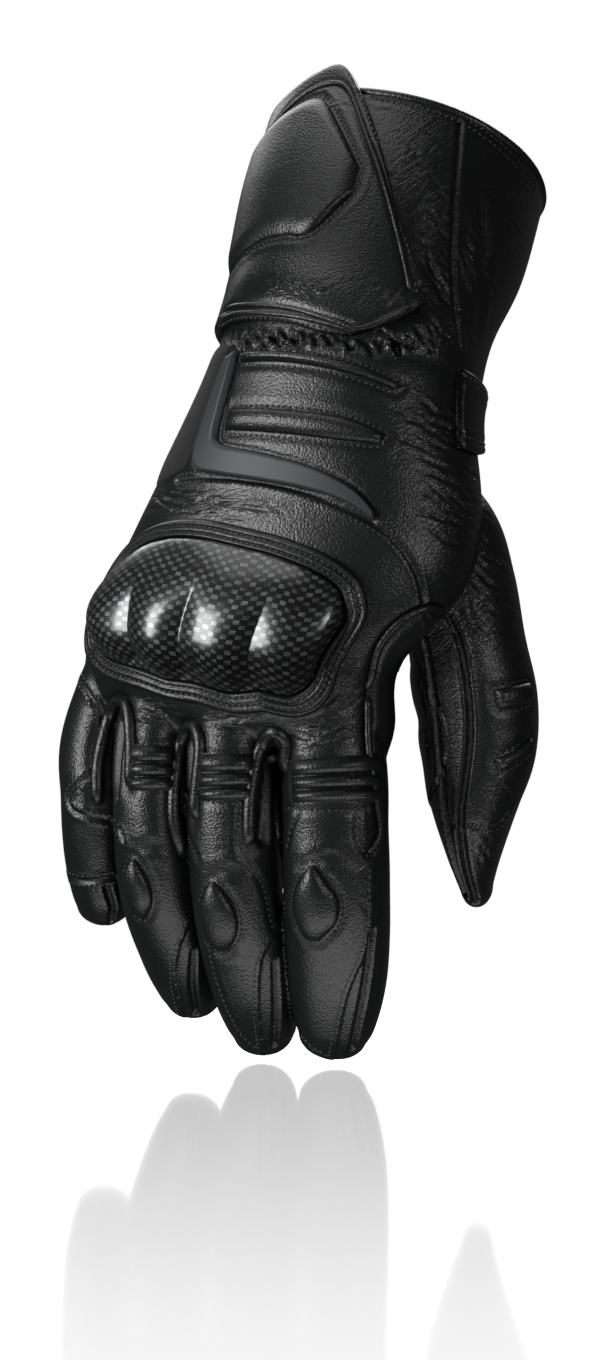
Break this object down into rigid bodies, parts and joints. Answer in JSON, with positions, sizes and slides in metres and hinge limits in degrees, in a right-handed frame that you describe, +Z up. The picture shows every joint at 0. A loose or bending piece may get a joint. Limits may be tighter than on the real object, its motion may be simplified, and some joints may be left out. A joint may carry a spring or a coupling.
{
  "type": "motorcycle glove",
  "caption": "Long-gauntlet leather motorcycle glove for the right hand, with a closing flap, wrist strap and domed knuckle guard",
  "frame": {"origin": "the middle of the wrist, inside the glove, where the strap closes round it", "axes": "+Z up the arm, fingers down; -Y faces the viewer, with the back of the hand turned about 25 degrees from it towards -X; the thumb is on the +X side"},
  "size_m": [0.1511, 0.1147, 0.3033],
  "materials": {
    "leather": "black grained cowhide, semi-gloss",
    "carbon": "woven carbon under clear gloss resin",
    "rubber": "smooth matt moulded rubber"
  },
  "bodies": {
    "root": {"cuff_shell": "leather", "cuff_binding": "leather", "cuff_flap": "leather", "flap_piping": "leather", "flap_pad": "leather", "hand_shell": "leather", "index_finger": "leather", "middle_finger": "leather", "ring_finger": "leather", "little_finger": "leather", "thumb": "leather", "wrist_strap": "leather", "wrist_rib_upper": "leather", "wrist_rib_lower": "leather", "knuckle_frame": "leather", "index_stretch": "leather", "middle_stretch": "leather", "ring_stretch": "leather", "index_pad": "leather", "middle_pad": "leather", "ring_pad": "leather", "thumb_bar_upper": "leather", "thumb_bar_lower": "leather", "knuckle_guard": "carbon", "wrist_trim": "rubber"}
  },
  "joints": []
}
